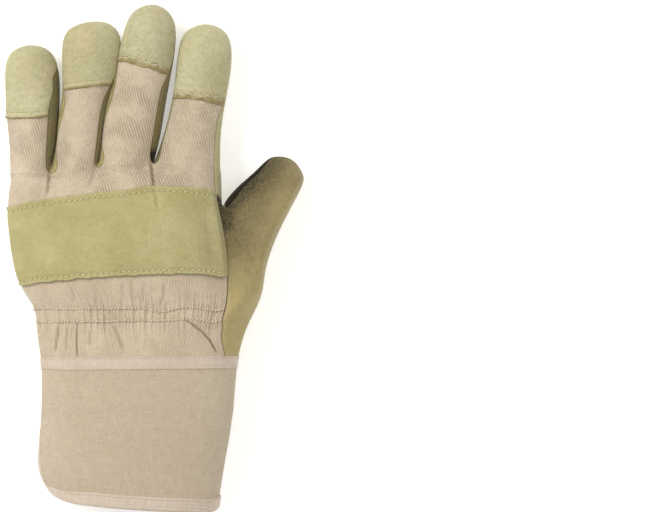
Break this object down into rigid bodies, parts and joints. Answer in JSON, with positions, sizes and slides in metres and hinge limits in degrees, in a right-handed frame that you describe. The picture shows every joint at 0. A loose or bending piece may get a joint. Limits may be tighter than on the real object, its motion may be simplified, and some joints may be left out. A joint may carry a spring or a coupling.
{
  "type": "leather work glove",
  "caption": "Rigger-style work glove for the left hand, lying palm down: leather palm and fingertips, twill back, gathered wrist, stiff slit cuff.",
  "frame": {"origin": "on the floor below the middle of the glove's bounding box", "axes": "+Y from the cuff to the fingertips, +X towards the thumb, +Z out of the back of the hand"},
  "size_m": [0.1602, 0.2712, 0.0506],
  "materials": {
    "grain_leather": "matt pig-grain leather, pale olive",
    "strap_leather": "matt napped leather, olive",
    "cotton_twill": "unbleached cotton twill",
    "cuff_canvas": "stiffened cotton canvas with fine flecks",
    "cotton_tape": "cream cotton tape"
  },
  "bodies": {
    "root": {"palm_leather": "grain_leather", "ring_middle_front": "grain_leather", "palm_welt": "grain_leather", "fourchette_little_ring": "grain_leather", "fourchette_ring_middle": "grain_leather", "fourchette_middle_index": "grain_leather", "thumb_back": "grain_leather", "fingertip_little": "grain_leather", "fingertip_ring": "grain_leather", "fingertip_middle": "grain_leather", "fingertip_index": "grain_leather", "vein_patch": "grain_leather", "knuckle_strap": "strap_leather", "finger_back_cloth": "cotton_twill", "wrist_back_cloth": "cotton_twill", "safety_cuff": "cuff_canvas", "wrist_tape": "cotton_tape", "hem_binding": "cotton_tape"}
  },
  "joints": []
}
